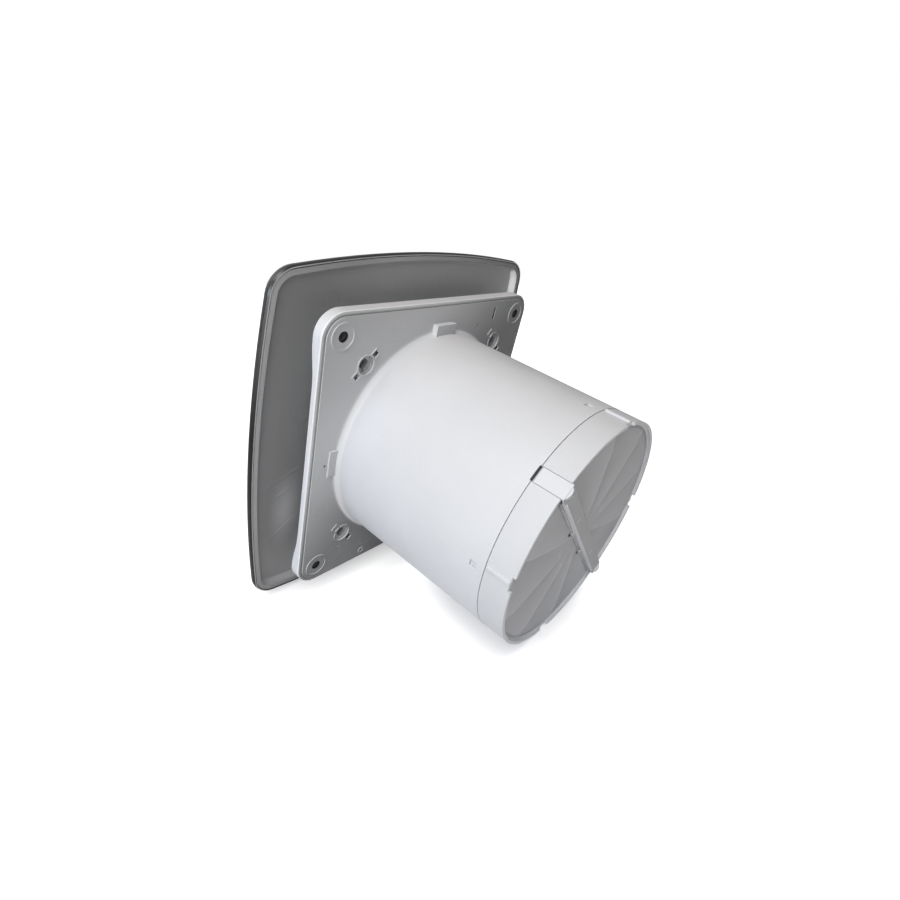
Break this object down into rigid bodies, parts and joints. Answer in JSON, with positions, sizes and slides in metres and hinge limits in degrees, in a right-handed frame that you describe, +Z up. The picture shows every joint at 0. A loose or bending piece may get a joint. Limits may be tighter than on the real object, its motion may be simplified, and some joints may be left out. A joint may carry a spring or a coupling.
{
  "type": "bathroom extractor fan",
  "caption": "Axial wall fan on a square tray with a round duct spigot, a backdraught valve of two film flaps at the duct end, and a bowed brushed-steel cover standing clear of the tray.",
  "frame": {"origin": "where the duct axis meets the wall plane, which is the back face of the square mounting tray", "axes": "+Z up, +Y along the duct into the wall, +X to the right as seen from the room; the cover is on the -Y side"},
  "size_m": [0.2336, 0.1661, 0.2336],
  "materials": {
    "white_plastic": "fine satin moulded ABS, bluish white",
    "valve_plastic": "satin moulded ABS, a little greyer than the housing",
    "grey_plastic": "satin mid-grey moulded plastic",
    "brushed_steel": "vertically brushed stainless sheet",
    "flap_film": "thin milky film, slightly see-through",
    "impeller_plastic": "satin moulded ABS",
    "terminal_plastic": "glossy ivory polyamide",
    "black_rubber": "matt black rubber",
    "zinc_steel": "zinc-plated pressed steel",
    "bearing_steel": "ground bright steel",
    "core_steel": "laminated electrical steel",
    "copper_wire": "varnished copper winding",
    "lead_insulation": "blue wire insulation",
    "screw_steel": "zinc-plated screws"
  },
  "bodies": {
    "root": {"housing": "white_plastic", "terminal_block": "terminal_plastic", "terminal_screws": "screw_steel", "terminal_cover": "white_plastic", "terminal_cover_screw": "screw_steel", "cable_clamp": "terminal_plastic", "cable_clamp_screws": "screw_steel", "cable_grommet": "black_rubber", "fan_cassette": "white_plastic", "cassette_screws": "screw_steel", "motor_can": "zinc_steel", "motor_end_bell": "zinc_steel", "front_bearing": "bearing_steel", "rear_bearing": "bearing_steel", "stator_core": "core_steel", "stator_winding": "copper_wire", "damper_rings": "black_rubber", "motor_screws": "screw_steel", "motor_leads": "lead_insulation", "valve_ring": "white_plastic", "valve_bridge": "valve_plastic"},
    "impeller_body": {"impeller": "impeller_plastic", "motor_shaft": "bearing_steel", "motor_rotor": "core_steel", "impeller_nut": "screw_steel"},
    "flap_upper_body": {"flap_upper": "flap_film"},
    "flap_lower_body": {"flap_lower": "flap_film"},
    "front_cover": {"cover_skin": "brushed_steel", "cover_backing": "grey_plastic"}
  },
  "joints": [
    {"name": "impeller_spin", "type": "hinge", "parent": "root", "child": "impeller_body", "pos_m": [0, 0.02, 0], "axis": [0, 1, 0], "continuous": true},
    {"name": "flap_upper_swing", "type": "hinge", "parent": "root", "child": "flap_upper_body", "pos_m": [-0.00339, 0.1316, 0.00339], "axis": [-0.7071, 0, -0.7071], "range_deg": [0, 75]},
    {"name": "flap_lower_swing", "type": "hinge", "parent": "root", "child": "flap_lower_body", "pos_m": [0.00339, 0.1316, -0.00339], "axis": [0.7071, 0, 0.7071], "range_deg": [0, 75]},
    {"name": "cover_pull", "type": "slide", "parent": "root", "child": "front_cover", "axis": [0, -1, 0], "range_m": [0, 0.06]}
  ]
}
